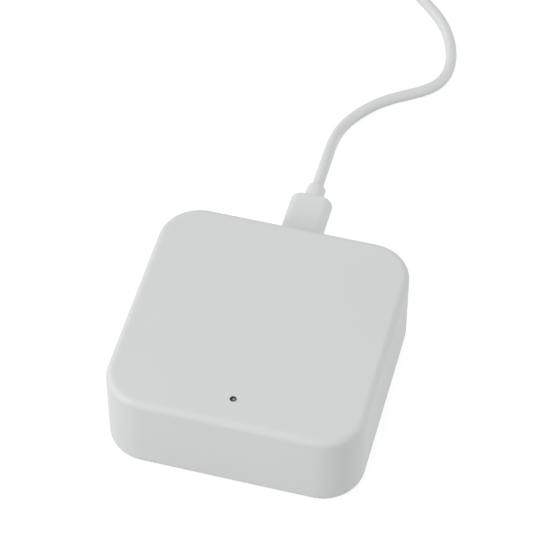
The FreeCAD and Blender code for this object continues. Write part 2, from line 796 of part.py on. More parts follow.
def make_usb_a_plug(face_x, face_y):
    """The far plug lies flat on the table and points away from the coil."""
    grip = make_grip(
        "usb_a_plug_grip", "dim.a_grip_width", "dim.a_grip_height", "dim.a_grip_round",
        "dim.a_grip_length", "dim.a_collar_length",
    )
    shell = make_plug_shell(
        "usb_a_plug_shell", "dim.a_plug_width", "dim.a_plug_height", "dim.a_plug_round",
        "dim.a_plug_sheet", "dim.a_plug_length",
    )
    windows = new_sketch(shell, "XY_Plane", "dim.a_plug_height / 2")
    window_y = "(dim.a_window_from_tip - dim.a_plug_length)"
    for sign in ("", "-"):
        across = sign + "dim.a_window_spread"
        centred_rectangle(windows, across, window_y, "dim.a_window_width", "dim.a_window_length")
    cut(shell, windows, "dim.a_plug_height")
    tongue = new_body("usb_a_plug_tongue")
    blade = new_sketch(tongue, "XZ_Plane", "0")
    inner = "(dim.a_plug_sheet + dim.a_tongue_clearance)"
    low = f"(-dim.a_plug_height / 2 + {inner})"
    half = f"(dim.a_plug_width / 2 - {inner})"
    rectangle(blade, f"-{half}", low, half, f"{low} + dim.a_tongue_height")
    grow(tongue, blade, "dim.a_plug_length - dim.a_plug_sheet")

    contacts = new_body("usb_a_plug_contacts")
    strips = new_sketch(contacts, "XZ_Plane", "dim.a_plug_length - dim.a_plug_sheet")
    height = f"{low} + dim.a_tongue_height + dim.a_contact_height / 2"
    count = round(value("dim.a_contact_count"))
    for index in range(count):
        across = f"{index - (count - 1) / 2} * dim.a_contact_pitch"
        centred_rectangle(strips, across, height, "dim.a_contact_width", "dim.a_contact_height")
    grow(contacts, strips, "dim.a_contact_length", backwards=True)
    bodies = [grip, shell, tongue, contacts]
    for body in bodies:
        body.Placement.Rotation = FreeCAD.Rotation(FreeCAD.Vector(0, 0, 1), 90)
        move_to(body, face_x, face_y, "dim.a_grip_height / 2")
    return bodies


def cord_wire(label, points):
    """Straight runs joined by tangent arcs, each as large as its two runs allow."""
    points = [FreeCAD.Vector(*point) for point in points]
    diameter = value("dim.cord_diameter")
    edges, here, radii = [], points[0], []
    for before, corner, after in zip(points, points[1:], points[2:]):
        back, ahead = before - corner, after - corner
        reach = ARC_SHARE * min(back.Length, ahead.Length)
        back.normalize()
        ahead.normalize()
        half_turn = (math.pi - back.getAngle(ahead)) / 2
        radius = reach / math.tan(half_turn)
        middle = (back + ahead).normalize() * (radius / math.cos(half_turn) - radius)
        start, end = corner + back * reach, corner + ahead * reach
        edges.append(Part.LineSegment(here, start).toShape())
        edges.append(Part.Arc(start, corner + middle, end).toShape())
        radii.append(radius)
        here = end
    edges.append(Part.LineSegment(here, points[-1]).toShape())
    print(label, "bend radii in mm:", [round(radius, 1) for radius in radii])
    print(label, "tightest, in diameters:", round(min(radii) / diameter, 1))
    return Part.Wire(edges)


def make_cord(label, points):
    """Round tube along the route, checked against its section times its length."""
    wire = cord_wire(label, points)
    first = FreeCAD.Vector(*points[0])
    along = FreeCAD.Vector(*points[1]) - first
    radius = value("dim.cord_diameter / 2")
    profile = Part.Wire(Part.Circle(first, along, radius).toShape())
    tube = wire.makePipeShell([profile], True, False)
    expected = math.pi * radius ** 2 * wire.Length
    if abs(tube.Volume / expected - 1) > 0.01:
        raise ValueError(f"{label} has the wrong volume")
    print(label, "length in mm:", round(wire.Length, 1))
    feature = document.addObject("Part::Feature", label)
    feature.Label = label
    feature.Shape = tube
    feature.Placement = FreeCAD.Placement()
    return feature


def coil_point(angle_name, along_stub):
    """A point of the outer turn at an angle, moved along the way in or out of the coil."""
    angle = math.radians(value(angle_name))
    radius = value("dim.coil_radius")
    heading = FreeCAD.Vector(math.sin(angle), -math.cos(angle), 0)
    centre = FreeCAD.Vector(value("dim.coil_x"), value("dim.coil_y"), 0)
    place = centre + FreeCAD.Vector(math.cos(angle), math.sin(angle), 0) * radius
    return place + heading * along_stub


def make_cord_coil():
    """Outer shape of the coil: a flat ring with a stub where the cord goes in and out."""
    ring = {}
    for name, radius in (("coil_disc", COIL_OUTER), ("coil_hole", COIL_INNER)):
        ring[name] = document.addObject("Part::Cylinder", name)
        ring[name].setExpression("Radius", radius)
        ring[name].setExpression("Height", COIL_HEIGHT)
        move_to(ring[name], "dim.coil_x", "dim.coil_y", COIL_BASE)
    band = document.addObject("Part::Cut", "coil_band")
    band.Base, band.Tool = ring["coil_disc"], ring["coil_hole"]
    document.recompute()
    eased = document.addObject("Part::Chamfer", "coil_eased")
    eased.Base = band
    size = value("dim.coil_chamfer")
    edges = []
    for number, edge in enumerate(band.Shape.Edges, 1):
        if edge.BoundBox.ZLength < NEAR:
            edges.append((number, size, size))
    eased.Edges = edges

    lower = f"({COIL_BASE} + dim.cord_diameter / 2)"
    stubs = []
    ends = [("coil_entry", -1, lower), ("coil_exit", 1, f"({lower} + dim.coil_layer)")]
    for name, way, height in ends:
        stub = document.addObject("Part::Cylinder", name + "_stub")
        stub.setExpression("Radius", "dim.cord_diameter / 2")
        stub.setExpression("Height", f"dim.{name}_stub")
        angle = f"dim.{name}_angle"
        heading = coil_point(angle, way) - coil_point(angle, 0)
        stub.Placement.Rotation = FreeCAD.Rotation(FreeCAD.Vector(0, 0, 1), heading)
        move_to(
            stub,
            f"dim.coil_x + dim.coil_radius * cos({angle} * 1 deg)",
            f"dim.coil_y + dim.coil_radius * sin({angle} * 1 deg)",
            height,
        )
        stubs.append(stub)
    coil = document.addObject("Part::MultiFuse", "cord_coil")
    coil.Label = "cord_coil"
    coil.Shapes = [eased] + stubs
    return coil


def make_coil_tie():
    """Strap that lies flat on the table, runs round the coil's turns and holds them."""
    body = new_body("coil_tie")
    loop = new_sketch(body, "XZ_Plane", "dim.tie_width / 2")
    room = new_sketch(body, "XZ_Plane", "dim.tie_width / 2")
    middle = f"({COIL_OUTER} + {COIL_INNER}) / 2"
    width = f"({COIL_OUTER} - {COIL_INNER} + 2 * dim.tie_clearance)"
    height = f"({COIL_HEIGHT} + 2 * dim.cord_lift)"
    rise = f"dim.tie_thickness + {height} / 2"
    wide, tall = f"{width} + 2 * dim.tie_thickness", f"{height} + 2 * dim.tie_thickness"
    rounded_rectangle(loop, middle, rise, wide, tall, "dim.tie_round + dim.tie_thickness")
    grow(body, loop, "dim.tie_width", backwards=True)
    rounded_rectangle(room, middle, rise, width, height, "dim.tie_round")
    cut(body, room, "dim.tie_width")
    body.Placement.Rotation = FreeCAD.Rotation(FreeCAD.Vector(0, 0, 1), value("dim.tie_angle"))
    move_to(body, "dim.coil_x", "dim.coil_y", "0")
    return body


def make_cords():
    """The free lead, its put-away coil with its tie, the tail and the far plug."""
    floor = value("dim.cord_diameter / 2 + dim.cord_lift")
    lower = value(f"{COIL_BASE} + dim.cord_diameter / 2")
    exit_y, exit_z = value(COLLAR_END), value(PORT_Z)
    stub = value("dim.coil_entry_stub")
    route = [(0, exit_y, exit_z), (0, exit_y + CORD_LEVEL, exit_z)] + CORD_FALL
    route += [(x, y, floor) for x, y in CORD_TABLE]
    for back in (CORD_LAST_RUN, 0):
        point = coil_point("dim.coil_entry_angle", -stub - back)
        route.append((point.x, point.y, lower))
    cord = make_cord("power_cord", route)
    coil = make_cord_coil()

    stub = value("dim.coil_exit_stub")
    start = coil_point("dim.coil_exit_angle", stub)
    length = value("dim.tail_length")
    high, low = lower + value("dim.coil_layer"), value("dim.a_grip_height / 2")
    tail_points = [(start.x, start.y, high)]
    for share, height in zip(TAIL_RUNS + (1,), (high, low, low)):
        point = coil_point("dim.coil_exit_angle", stub + share * length)
        tail_points.append((point.x, point.y, height))
    tail = make_cord("cord_tail", tail_points)

    exit_angle = "dim.coil_exit_angle * 1 deg"
    away = "(dim.coil_exit_stub + dim.tail_length + dim.a_collar_length + dim.a_grip_length)"
    face_x = f"dim.coil_x + dim.coil_radius * cos({exit_angle}) + {away} * sin({exit_angle})"
    face_y = f"dim.coil_y + dim.coil_radius * sin({exit_angle}) - {away} * cos({exit_angle})"
    return [cord, coil, make_coil_tie(), tail] + make_usb_a_plug(face_x, face_y)


parts = [make_top_housing(), make_base_plate()]
for number, (side, end) in enumerate(CORNERS, start=1):
    parts.append(make_foot(number, side, end))
parts.append(
    make_screws(
        "cover_screws", TOWER_X, TOWER_Y, UNDERSIDE, "dim.screw_head",
        "dim.screw_head_height", "dim.screw_shank", "dim.screw_length",
    )
)
parts.append(make_main_board())
parts.append(
    make_screws(
        "board_screws", POST_X, "dim.post_y",
        f"{BOARD_BOTTOM} - dim.board_screw_head_height", "dim.board_screw_head",
        "dim.board_screw_head_height", "dim.board_screw_shank", "dim.board_screw_length",
    )
)
parts += make_socket()
parts += make_radio_module("wifi") + make_radio_module("bluetooth")
parts.append(
    make_block(
        "status_light", "0", LIGHT_Y, BOARD_TOP, "dim.light_width", "dim.light_depth",
        "dim.light_height",
    )
)
parts.append(make_light_pipe())
parts.append(
    make_block(
        "voltage_regulator", "dim.regulator_x", "dim.regulator_y", BOARD_TOP,
        "dim.regulator_side", "dim.regulator_side", "dim.regulator_height",
    )
)
parts.append(
    make_block(
        "power_inductor", "dim.inductor_x", "dim.inductor_y", BOARD_TOP, "dim.inductor_side",
        "dim.inductor_side", "dim.inductor_height",
    )
)
parts.append(
    make_block(
        "flash_memory", "dim.flash_x", "dim.flash_y", BOARD_TOP, "dim.flash_length",
        "dim.flash_width", "dim.flash_height",
    )
)
parts.append(
    make_block(
        "crystal", "dim.crystal_x", "dim.crystal_y", BOARD_TOP, "dim.crystal_length",
        "dim.crystal_width", "dim.crystal_height",
    )
)
parts.append(
    make_row(
        "capacitors", "dim.capacitor_count", "dim.capacitor_x", "dim.capacitor_y",
        "dim.capacitor_pitch", "dim.capacitor_length", "dim.capacitor_width",
        "dim.capacitor_width",
    )
)
parts.append(
    make_row(
        "resistors", "dim.resistor_count", "dim.resistor_x", "dim.resistor_y",
        "dim.resistor_pitch", "dim.resistor_width", "dim.resistor_length",
        "dim.resistor_height",
    )
)
parts += make_usb_c_plug()
parts += make_cords()
document.recompute()

for item in document.Objects:
    for state in ("Invalid", "Error"):
        if state in item.State:
            raise RuntimeError(f"{item.Label} is in state {state}")
for part in parts:
    if part.Shape.isNull() or not part.Shape.isValid() or not part.Shape.Solids:
        raise RuntimeError(f"{part.Label} has no valid solid")

os.makedirs("parts", exist_ok=True)
for part in parts:
    part.Shape.exportStep(f"parts/{part.Label}.step")
    print(part.Label, len(part.Shape.Solids), "solids", round(part.Shape.Volume, 2), "mm3")
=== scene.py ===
import math

import bmesh
import bpy
from mathutils import Matrix, Vector


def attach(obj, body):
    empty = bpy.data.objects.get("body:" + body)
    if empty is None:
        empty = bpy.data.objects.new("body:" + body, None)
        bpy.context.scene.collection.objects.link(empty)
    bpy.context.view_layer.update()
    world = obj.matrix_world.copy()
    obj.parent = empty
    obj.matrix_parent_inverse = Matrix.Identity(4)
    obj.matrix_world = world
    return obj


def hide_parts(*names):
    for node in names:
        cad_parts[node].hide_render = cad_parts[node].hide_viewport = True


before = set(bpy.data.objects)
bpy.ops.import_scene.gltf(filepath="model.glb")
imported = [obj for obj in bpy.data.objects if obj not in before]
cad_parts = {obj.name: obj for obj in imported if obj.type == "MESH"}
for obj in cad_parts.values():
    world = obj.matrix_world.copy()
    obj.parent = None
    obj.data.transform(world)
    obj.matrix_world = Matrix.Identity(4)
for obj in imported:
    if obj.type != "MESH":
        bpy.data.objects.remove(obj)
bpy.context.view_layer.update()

# Top housing. One injection moulding in matt off-white plastic, a square cup that is open
# below. Four screw towers, four board posts, ribs and the light guide stand inside it, and
# its back wall has the window for the socket. Sizes here and below are in millimetres.
MM = 0.001
CORNERS = [(1, 1), (-1, 1), (-1, -1), (1, -1)]
UNDERSIDE, ROOF, CEILING = 0.5, 26.4, 23.9
HALF_WIDTH, CORNER_RADIUS, WALL, CEILING_CHAMFER = 35.0, 11.5, 3.0, 1.0
TOP_ROUND, BOTTOM_ROUND = 2.0, 2.5
LEVEL_STRIP = 0.5  # beside a rounding, where it keeps the flat's shading flat
PLATE_TOP, BOARD_TOP, PORT_Z = 2.9, 10.67, 12.3
TOWER, TOWER_RADIUS, TOWER_PILOT, TOWER_PILOT_DEPTH = 26.5, 3.0, 1.15, 9
POST_X, POST_Y, POST_RADIUS, POST_PILOT, POST_PILOT_DEPTH = 24.5, 13.0, 2.5, 0.85, 7
RIB = 1.2  # thickness
TOWER_RIB_AT, TOWER_RIB_LONG = 30.25, 4.5
POST_RIB_AT, POST_RIB_LONG = 28.5, 8.0
STOP_AT, STOP_ASIDE, STOP_LONG, STOP_TALL = 31.65, 10.0, 1.7, 5
LIGHT_Y, GUIDE_RADIUS, GUIDE_END = -26.6, 2.5, CEILING - 8
GUIDE_BORE, LIGHT_HOLE, LIGHT_HOLE_RIM, LIGHT_SHELF = 1.3, 0.92, 1.02, ROOF - 1.5
WINDOW_WIDTH, WINDOW_HEIGHT, WINDOW_CORNER = 9.5, 3.82, 1.83
ROOTED = CEILING + 0.5  # in the solid top
OVERCUT = 0.1


def rounded(width, depth, radius, steps=16, flat=0.0):
    """Rounded rectangle, counter-clockwise. With flat, each side has two more points, that
    far from its ends, which keep its shading flat."""
    points = []
    for quarter_turn, (right, up) in enumerate(CORNERS):
        x, y = right * (width / 2 - radius), up * (depth / 2 - radius)
        turn = quarter_turn * math.pi / 2
        angles = [turn + step * math.pi / 2 / steps for step in range(steps + 1)]
        arc = [(x + radius * math.cos(a), y + radius * math.sin(a)) for a in angles]
        if flat:
            first, last = angles[0], angles[-1]
            before = (arc[0][0] + flat * math.sin(first), arc[0][1] - flat * math.cos(first))
            after = (arc[-1][0] - flat * math.sin(last), arc[-1][1] + flat * math.cos(last))
            arc = [before] + arc + [after]
        points += arc
    return points


def disc(radius, steps=48):
    angles = [step * 2 * math.pi / steps for step in range(steps)]
    return [(radius * math.cos(a), radius * math.sin(a)) for a in angles]


def square(width, depth):
    return [(right * width / 2, up * depth / 2) for right, up in CORNERS]


def prism(outline, low, high):
    """A stack of two, of an outline or of a radius."""
    return [(outline, low), (outline, high)]


def turned(profile, steps=48):
    """A stack of discs, from radii and heights."""
    return [(disc(radius, steps), height) for radius, height in profile]


def layered(rows, steps, flat=0.0):
    """A stack of rounded rectangles, from widths, depths, radii and heights."""
    return [(rounded(w, d, r, steps=steps, flat=flat), height) for w, d, r, height in rows]


def quarter(steps):
    """Rise and run of a quarter circle of radius 1, from its upright start."""
    angles = [math.radians(90 * step / steps) for step in range(steps + 1)]
    return [(math.sin(a), 1 - math.cos(a)) for a in angles]


def add_solid(shape, sections, at=(0, 0, 0), axes="xyz", sleeve=False):
    """Skin a stack of outlines, each with its place along the third axis. A sleeve joins its
    last outline to its first, and anything else gets both ends closed."""
    rows = []
    for outline, height in sections:
        row = []
        for u, v in outline:
            place = dict(zip(axes, (u, v, height)))
            row.append(shape.verts.new([(place[a] + o) * MM for a, o in zip("xyz", at)]))
        rows.append(row)
    pairs = list(zip(rows, rows[1:]))
    if sleeve:
        pairs.append((rows[-1], rows[0]))
    else:
        shape.faces.new(rows[0])
        shape.faces.new(rows[-1])
    for low, high in pairs:
        for i in range(len(low)):
            j = (i + 1) % len(low)
            shape.faces.new((low[i], low[j], high[j], high[i]))


def merge(shape):
    """Join points that touch, and drop edges and faces of no size. In metres."""
    touching = 1e-7
    bmesh.ops.remove_doubles(shape, verts=shape.verts, dist=touching)
    bmesh.ops.dissolve_degenerate(shape, edges=shape.edges, dist=touching)


def solid(name, shape):
    """An object of the mesh, with its faces outwards."""
    merge(shape)
    bmesh.ops.recalc_face_normals(shape, faces=shape.faces)
    mesh = bpy.data.meshes.new(name)
    shape.to_mesh(mesh)
    shape.free()
    piece = bpy.data.objects.new(name, mesh)
    bpy.context.scene.collection.objects.link(piece)
    return piece


def plain_mesh(piece):
    """Turn what the modifiers give into the piece's own mesh."""
    evaluated = piece.evaluated_get(bpy.context.evaluated_depsgraph_get())
    mesh = bpy.data.meshes.new_from_object(evaluated)
    piece.modifiers.clear()
    piece.data = mesh
    mesh.name = piece.name


def combine(piece, shape, operation):
    """Add a mesh to the piece, or cut it out."""
    tool = solid(piece.name + "_tool", shape)
    step = piece.modifiers.new("combine", "BOOLEAN")
    step.operation = operation
    step.solver = "EXACT"
    step.object = tool
    plain_mesh(piece)
    bpy.data.objects.remove(tool)


def smooth(piece):
    """Shade the piece smooth, apart from its sharp edges."""
    shape = bmesh.new()
    shape.from_mesh(piece.data)
    merge(shape)
    shape.to_mesh(piece.data)
    shape.free()
    piece.data.shade_smooth()
    piece.data.set_sharp_from_angle(angle=math.radians(32))


def wall_ring(inset):
    side = 2 * (HALF_WIDTH - inset)
    return rounded(side, side, CORNER_RADIUS - inset, steps=20, flat=0.8)


sections = [(wall_ring(WALL + CEILING_CHAMFER), CEILING)]
sections += prism(wall_ring(WALL), CEILING - CEILING_CHAMFER, UNDERSIDE)
for rise, run in quarter(8):
    sections.append((wall_ring(BOTTOM_ROUND * (1 - rise)), UNDERSIDE + BOTTOM_ROUND * run))
wall_foot, wall_head = UNDERSIDE + BOTTOM_ROUND, ROOF - TOP_ROUND
sections += prism(wall_ring(0), wall_foot + LEVEL_STRIP, wall_head - LEVEL_STRIP)
for rise, run in quarter(12):
    sections.append((wall_ring(TOP_ROUND * run), ROOF - TOP_ROUND * (1 - rise)))
sections.append((wall_ring(TOP_ROUND + LEVEL_STRIP), ROOF))
shape = bmesh.new()
add_solid(shape, sections)
housing = solid("housing", shape)

columns = bmesh.new()
ribs = bmesh.new()
for right, back in CORNERS:
    for outline, low, high, across, along, group in (
        (disc(TOWER_RADIUS), PLATE_TOP, ROOTED, TOWER, TOWER, columns),
        (disc(POST_RADIUS), BOARD_TOP, ROOTED, POST_X, POST_Y, columns),
        (square(TOWER_RIB_LONG, RIB), PLATE_TOP, ROOTED, TOWER_RIB_AT, TOWER, ribs),
        (square(RIB, TOWER_RIB_LONG), PLATE_TOP, ROOTED, TOWER, TOWER_RIB_AT, ribs),
        (square(POST_RIB_LONG, RIB), BOARD_TOP + 1, ROOTED, POST_RIB_AT, POST_Y, ribs),
        (square(STOP_LONG, RIB), PLATE_TOP, PLATE_TOP + STOP_TALL, STOP_AT, STOP_ASIDE, ribs),
        (square(RIB, STOP_LONG), PLATE_TOP, PLATE_TOP + STOP_TALL, STOP_ASIDE, STOP_AT, ribs),
    ):
        add_solid(group, prism(outline, low, high), (right * across, back * along, 0))
add_solid(columns, prism(disc(GUIDE_RADIUS), GUIDE_END, ROOTED), (0, LIGHT_Y, 0))
combine(housing, columns, "UNION")
combine(housing, ribs, "UNION")

bores = bmesh.new()
for right, back in CORNERS:
    pilot = prism(disc(TOWER_PILOT), PLATE_TOP - OVERCUT, PLATE_TOP + TOWER_PILOT_DEPTH)
    add_solid(bores, pilot, (right * TOWER, back * TOWER, 0))
    pilot = prism(disc(POST_PILOT), BOARD_TOP - OVERCUT, BOARD_TOP + POST_PILOT_DEPTH)
    add_solid(bores, pilot, (right * POST_X, back * POST_Y, 0))
light_bore = [(GUIDE_BORE, GUIDE_END - OVERCUT), (GUIDE_BORE, LIGHT_SHELF)]
light_bore += [(LIGHT_HOLE, LIGHT_SHELF), (LIGHT_HOLE, ROOF - 0.08)]
light_bore += [(LIGHT_HOLE_RIM, ROOF + 0.02)]
add_solid(bores, turned(light_bore, 64), (0, LIGHT_Y, 0))
combine(housing, bores, "DIFFERENCE")
window = bmesh.new()
mouth = rounded(WINDOW_WIDTH, WINDOW_HEIGHT, WINDOW_CORNER)
through_the_wall = prism(mouth, HALF_WIDTH - WALL - 0.5, HALF_WIDTH + 0.5)
add_solid(window, through_the_wall, (0, 0, PORT_Z), "xzy")
combine(housing, window, "DIFFERENCE")
smooth(housing)


def linear(red, green, blue):
    """Shader colour of an 8-bit screen colour."""
    parts = []
    for level in (red, green, blue):
        share = level / 255
        parts.append(share / 12.92 if share < 0.04045 else ((share + 0.055) / 1.055) ** 2.4)
    return (*parts, 1.0)


def toned(colour, share):
    """The colour made darker or lighter by the share."""
    return tuple(min(1.0, share * part) for part in colour[:3]) + (1.0,)


class Wire:
    """The output of a shader node. Sums on wires and numbers add Math nodes."""

    def __init__(self, finish, socket):
        self.finish = finish
        self.socket = socket

    def maths(self, operation, *values):
        return self.finish.node("Math", {"operation": operation}, dict(enumerate(values)))

    def __add__(self, other):
        return self.maths("ADD", self, other)

    def __radd__(self, other):
        return self.maths("ADD", other, self)

    def __sub__(self, other):
        return self.maths("SUBTRACT", self, other)

    def __rsub__(self, other):
        return self.maths("SUBTRACT", other, self)

    def __mul__(self, other):
        return self.maths("MULTIPLY", self, other)

    def __rmul__(self, other):
        return self.maths("MULTIPLY", other, self)

    def __mod__(self, other):
        return self.maths("FLOORED_MODULO", self, other)

    def __gt__(self, other):
        return self.maths("GREATER_THAN", self, other)

    def __lt__(self, other):
        return self.maths("LESS_THAN", self, other)

    def __abs__(self):
        return self.maths("ABSOLUTE", self)

    def __or__(self, other):
        return self.maths("MAXIMUM", self, other)


class Finish:
    """A material with one Principled shader, and the nodes that vary it over the surface."""

    def __init__(self, name, **settings):
        self.material = bpy.data.materials.new(name)
        self.material.use_nodes = True
        self.tree = self.material.node_tree
        self.shader = self.tree.nodes["Principled BSDF"]
        self.place = self.node("TexCoord", {}, {}, "Object")
        self.set(**settings)

    def node(self, kind, settings, values, output=0):
        node = self.tree.nodes.new("ShaderNode" + kind)
        for name, setting in settings.items():
            setattr(node, name, setting)
        for name, value in values.items():
            if isinstance(value, Wire):
                self.tree.links.new(value.socket, node.inputs[name])
            else:
                node.inputs[name].default_value = value
        return Wire(self, node.outputs[output])

    def set(self, **settings):
        """Put a number, a colour or a wire on the shader's own sockets."""
        sockets = {socket.name.lower(): socket for socket in self.shader.inputs}
        for name, value in settings.items():
            socket = sockets[name.replace("_", " ")]
            if isinstance(value, Wire):
                self.tree.links.new(value.socket, socket)
            else:
                socket.default_value = value

    def noise(self, per_mm, detail=2.0, roughness=0.5):
        values = {"Scale": per_mm / MM, "Detail": detail, "Roughness": roughness}
        return self.node("TexNoise", {}, {"Vector": self.place, **values})

    def blend(self, share, low, high):
        return self.node("Mix", {"data_type": "RGBA"}, {0: share, 6: low, 7: high}, 2)

    def axis(self, letter):
        """Place along an axis, in mm."""
        return self.node("SeparateXYZ", {}, {"Vector": self.place}, letter) * (1 / MM)

    def bump(self, height, depth):
        """Raise the surface by the height, a wire from 0 to 1, times the depth in mm."""
        self.set(normal=self.node("Bump", {}, {"Height": height, "Distance": depth * MM}))


def moulded_plastic(name, colour, grain=0.22, depth=0.006, roughness=0.46, specular=0.36):
    """Matt moulded plastic: a fine eroded grain, faint flow marks and uneven gloss."""
    finish = Finish(name, specular_ior_level=specular)
    eroded = finish.noise(1 / grain, detail=3.0, roughness=0.6)
    flow = finish.noise(0.035, detail=1.0)
    handled = finish.noise(0.12)
    mottled = finish.blend(flow * 0.8 + eroded * 0.2, toned(colour, 0.975), toned(colour, 1.02))
    finish.set(base_color=mottled)
    finish.set(roughness=roughness - 0.04 + handled * 0.05 + eroded * 0.04)
    finish.bump(eroded, depth)
    return finish


def fit(piece, finish, slot, *nodes):
    """Give the piece its material and put it in the place of its CAD nodes."""
    piece.data.materials.clear()
    piece.data.materials.append(finish.material)
    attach(piece, "root")
    if nodes:
        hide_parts(*nodes)


housing_finish = moulded_plastic("matt_housing_plastic", linear(213, 215, 214))
fit(housing, housing_finish, "housing_plastic", "top_housing")

# Light pipe. A rod of smoked clear plastic, pushed up into the guide until its shoulder
# meets the top. Its thin domed tip ends a little below the roof. Its colour holds painted
# light and shade: a dark rim of painted shade where the hole shades the tip, and a grey
# middle that stands for the lamp's body seen through the rod together with a painted reflection.
PIPE, FLANGE, TIP, DOME = 1.25, 2.2, 0.86, 0.3
PIPE_FOOT, SHOULDER, DOME_FOOT = 11.77, ROOF - 1.55, ROOF - 0.45
pipe_steps = prism(PIPE, PIPE_FOOT, GUIDE_END - 1) + prism(FLANGE, GUIDE_END - 1, GUIDE_END)
pipe_steps += prism(PIPE, GUIDE_END, SHOULDER) + [(TIP, SHOULDER)]
for step in range(9):
    lift = math.radians(88 * step / 8)
    pipe_steps.append((TIP - DOME * (1 - math.cos(lift)), DOME_FOOT + DOME * math.sin(lift)))
pipe_steps.append((0.3, DOME_FOOT + DOME))
shape = bmesh.new()
add_solid(shape, turned(pipe_steps, 40), (0, LIGHT_Y, 0))
pipe = solid("light_pipe_piece", shape)
smooth(pipe)
smoked_tip_painted_shade = Finish("smoked_clear_plastic", specular_ior_level=0.2)
haze = smoked_tip_painted_shade.noise(1.2, detail=1.0)
aside, ahead = smoked_tip_painted_shade.axis("X") - 0.18, smoked_tip_painted_shade.axis("Y") - (LIGHT_Y - 0.1)
spread = {"Value": aside * aside + ahead * ahead, "From Min": 0.06, "From Max": 0.34}
# Painted shade: the tip's colour darkens from its middle out to its rim, where the hole shades it.
painted_shade_rim = smoked_tip_painted_shade.node("MapRange", {}, spread)
# The grey middle is the lamp's body seen through the rod and a painted reflection on the dome, set
# a little off the axis.
seen_lamp_painted_reflection = smoked_tip_painted_shade.blend(haze, linear(128, 130, 132), linear(146, 148, 150))
smoked_tip_painted_shade.set(base_color=smoked_tip_painted_shade.blend(painted_shade_rim, seen_lamp_painted_reflection, linear(8, 9, 9)))
smoked_tip_painted_shade.set(roughness=0.2 + haze * 0.08)
fit(pipe, smoked_tip_painted_shade, "clear_plastic", "light_pipe")

# Main board. Glass fibre board under green solder mask, screwed up against the posts. Its
# copper tracks show as slightly raised, lighter runs, and the free pads are tinned.
BOARD_THICK = 1.6


def cover(finish, *nodes):
    """Give CAD nodes that keep their own shape their material."""
    for name in nodes:
        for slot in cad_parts[name].material_slots:
            slot.material = finish.material


def stripes(place, pitch, share):
    """One in the given share of each pitch, and 0 between."""
    return (place * (1 / pitch)) % 1.0 < share


solder_mask = Finish("green_solder_mask", coat_weight=0.3)
across, along = solder_mask.axis("X"), solder_mask.axis("Y")
upright = solder_mask.noise(0.09, detail=0.0) > 0.52
tracks = stripes(across, 0.9, 0.4) * upright + stripes(along, 0.9, 0.4) * (1 - upright)
tracks = tracks * (solder_mask.noise(0.16, detail=0.0) > 0.47)
pads = stripes(across, 2.7, 0.26) * stripes(along, 2.7, 0.34)
pads = pads * (solder_mask.noise(0.3, detail=0.0) > 0.6)
green = solder_mask.blend(tracks, linear(18, 72, 44), linear(38, 104, 62))
solder_mask.set(base_color=solder_mask.blend(pads, green, linear(196, 198, 200)))
solder_mask.set(metallic=pads * 0.9, roughness=0.42 - pads * 0.12)
solder_mask.bump(tracks | pads, 0.03)
cover(solder_mask, "main_board", "wifi_module_board", "bluetooth_module_board")

# Shield cans. Pressed tinplate boxes soldered over each radio, matt from rolling, with the
# faint long scratches of handling. The crystal's can is the same, and the USB-C shells are
# drawn from nickel-plated steel.
def rolled_metal(name, colour, roughness=0.32, grain=3.0):
    """Sheet metal with the grain of its rolling and thin scratches along it."""
    finish = Finish(name, metallic=1.0)
    vector = {"Scale": (0.06, 1.0, 1.0), "Vector": finish.place}
    drawn = finish.node("Mapping", {"vector_type": "POINT"}, vector)
    values = {"Scale": grain / MM, "Detail": 2.0, "Vector": drawn}
    lines = finish.node("TexNoise", {}, values)
    dull = finish.noise(0.25)
    finish.set(base_color=finish.blend(lines, toned(colour, 0.86), colour))
    finish.set(roughness=roughness - 0.05 + lines * 0.12 + dull * 0.06)
    finish.bump(lines, 0.004)
    return finish


tinplate = rolled_metal("tinplate", linear(206, 208, 206))
cover(tinplate, "wifi_module_shield", "bluetooth_module_shield", "crystal")
connector_steel = rolled_metal("nickel_plated_steel", linear(214, 213, 208), roughness=0.24)
cover(connector_steel, "usb_c_socket_shell", "usb_c_plug_shell")

# Chips and small parts. Black epoxy for the regulator, the memory and the inductor, white
# ceramic for the antennas and the light, and rows of resistors and capacitors whose two
# ends are tinned.
def speckled(name, low, high, per_mm, detail, dull, depth):
    """A fired or cast body with a fine speck. Dull is its least and most roughness."""
    finish = Finish(name)
    speck = finish.noise(per_mm, detail=detail)
    finish.set(base_color=finish.blend(speck, linear(*low), linear(*high)))
    finish.set(roughness=dull[0] + speck * (dull[1] - dull[0]))
    finish.bump(speck, depth)
    return finish


def chip_row(name, colour, axis, centre, length):
    """Small parts in a row, tinned over the outer quarter of each end."""
    finish = Finish(name)
    ends = abs(finish.axis(axis) - centre) > length / 4
    speck = finish.noise(5.0, detail=1.0)
    body = finish.blend(speck, toned(colour, 0.8), colour)
    finish.set(base_color=finish.blend(ends, body, linear(202, 204, 206)))
    finish.set(metallic=ends * 0.95, roughness=0.4 - ends * 0.12 + speck * 0.1)
    finish.bump(ends | speck * 0.3, 0.02)
    return finish


epoxy = speckled("black_epoxy", (26, 26, 28), (44, 44, 46), 4.0, 3.0, (0.5, 0.65), 0.006)
cover(epoxy, "voltage_regulator", "power_inductor", "flash_memory")
ceramic = speckled(
    "white_ceramic", (222, 220, 212), (236, 235, 229), 3.0, 2.0, (0.38, 0.5), 0.004
)
cover(ceramic, "wifi_antenna", "bluetooth_antenna", "status_light")
cover(chip_row("resistor_body", linear(32, 32, 34), "Y", 9.5, 1.6), "resistors")
cover(chip_row("capacitor_body", linear(150, 118, 84), "Y", 20.5, 1.25), "capacitors")

